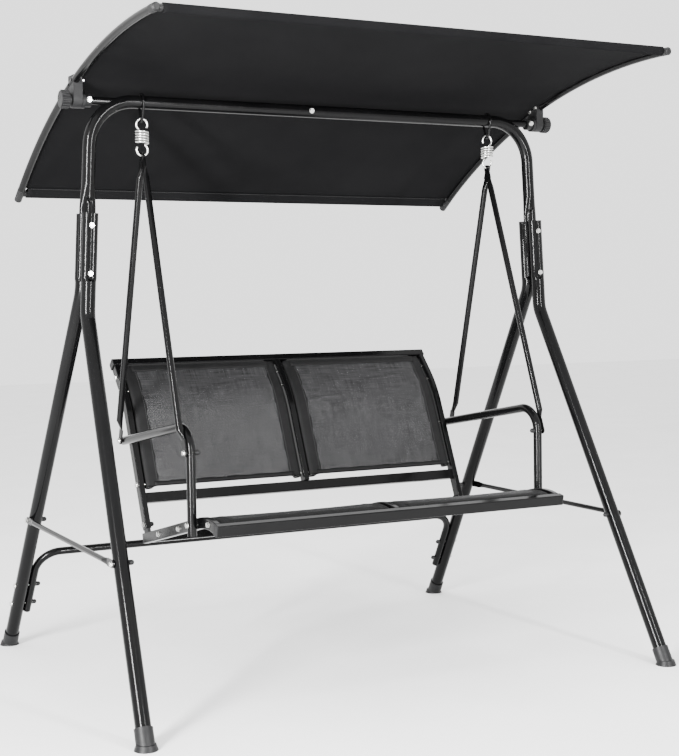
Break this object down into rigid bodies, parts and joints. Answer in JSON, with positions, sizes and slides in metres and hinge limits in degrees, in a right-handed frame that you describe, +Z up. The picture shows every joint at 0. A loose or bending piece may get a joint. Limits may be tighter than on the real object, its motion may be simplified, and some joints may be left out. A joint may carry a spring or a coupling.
{
  "type": "hanging swing seat",
  "caption": "Hanging garden swing seat: a sling bench on coil springs below a bent steel tube frame, with a curved tilting canopy.",
  "frame": {"origin": "on the ground under the middle of the whole object", "axes": "+Z up, -Y towards the open front of the seat, +X to the right for someone looking at the front of the seat"},
  "size_m": [1.4408, 1.185, 1.5343],
  "materials": {
    "black_coated_steel": "semi-gloss black powder coat",
    "zinc_steel": "bright zinc plating",
    "black_plastic": "matt moulded plastic",
    "sling_mesh": "woven coated mesh",
    "canopy_cloth": "woven polyester cloth"
  },
  "bodies": {
    "frame": {"front_leg_left": "black_coated_steel", "front_leg_right": "black_coated_steel", "rear_leg_left": "black_coated_steel", "rear_leg_right": "black_coated_steel", "foot_caps": "black_plastic", "top_bar_left": "black_coated_steel", "top_bar_right": "black_coated_steel", "top_bar_bolt": "zinc_steel", "top_bar_nut": "black_plastic", "column_bolts": "zinc_steel", "column_nuts": "black_plastic", "side_brace_left": "black_coated_steel", "side_brace_right": "black_coated_steel", "rear_stretcher": "black_coated_steel", "frame_bolts": "zinc_steel", "frame_cap_nuts": "black_plastic", "canopy_stub_left": "black_coated_steel", "canopy_stub_right": "black_coated_steel", "hinge_bases": "black_plastic", "hinge_base_bolts": "zinc_steel", "pivot_bolts": "zinc_steel", "hanger_ring_left": "black_coated_steel", "hanger_ring_right": "black_coated_steel"},
    "springs": {"spring_left": "zinc_steel", "spring_right": "zinc_steel"},
    "seat": {"front_hanger_left": "black_coated_steel", "front_hanger_right": "black_coated_steel", "rear_hanger_left": "black_coated_steel", "rear_hanger_right": "black_coated_steel", "armrest_left": "black_coated_steel", "armrest_right": "black_coated_steel", "back_rail_left": "black_coated_steel", "back_rail_right": "black_coated_steel", "back_centre_rail": "black_coated_steel", "back_top_rail": "black_coated_steel", "back_lower_rail": "black_coated_steel", "back_sling_rods": "black_coated_steel", "back_sling_left": "sling_mesh", "back_sling_right": "sling_mesh", "seat_rail_left": "black_coated_steel", "seat_rail_right": "black_coated_steel", "seat_centre_rail": "black_coated_steel", "seat_front_rail": "black_coated_steel", "seat_rear_rail": "black_coated_steel", "seat_sling_rods": "black_coated_steel", "seat_sling_left": "sling_mesh", "seat_sling_right": "sling_mesh", "corner_connectors": "black_plastic", "rail_end_caps": "black_plastic", "seat_bolts": "zinc_steel", "seat_cap_nuts": "black_plastic"},
    "canopy": {"canopy_rib_left": "black_coated_steel", "canopy_rib_right": "black_coated_steel", "canopy_cross_tubes": "black_coated_steel", "canopy_corners": "black_plastic", "canopy_cloth": "canopy_cloth", "rib_clamps": "black_plastic", "clamp_bolts": "zinc_steel"},
    "knob_left": {"tilt_knob_left": "black_plastic"},
    "knob_right": {"tilt_knob_right": "black_plastic"}
  },
  "joints": [
    {"name": "swing", "type": "hinge", "parent": "frame", "child": "springs", "pos_m": [0, -0.043, 1.3715], "axis": [1, 0, 0], "range_deg": [-20, 20]},
    {"name": "bounce", "type": "slide", "parent": "springs", "child": "seat", "axis": [0, 0, 1], "range_m": [-0.025, 0], "stiffness_N_per_m": 60000, "springref_m": 0.00184, "deforming": ["spring_left", "spring_right"]},
    {"name": "canopy_tilt", "type": "hinge", "parent": "frame", "child": "canopy", "pos_m": [0, -0.043, 1.408], "axis": [1, 0, 0], "range_deg": [-15, 40]},
    {"name": "knob_left_turn", "type": "hinge", "parent": "frame", "child": "knob_left", "pos_m": [-0.682, -0.043, 1.408], "axis": [1, 0, 0], "range_deg": [-180, 0]},
    {"name": "knob_right_turn", "type": "hinge", "parent": "frame", "child": "knob_right", "pos_m": [0.682, -0.043, 1.408], "axis": [1, 0, 0], "range_deg": [-180, 0]}
  ]
}
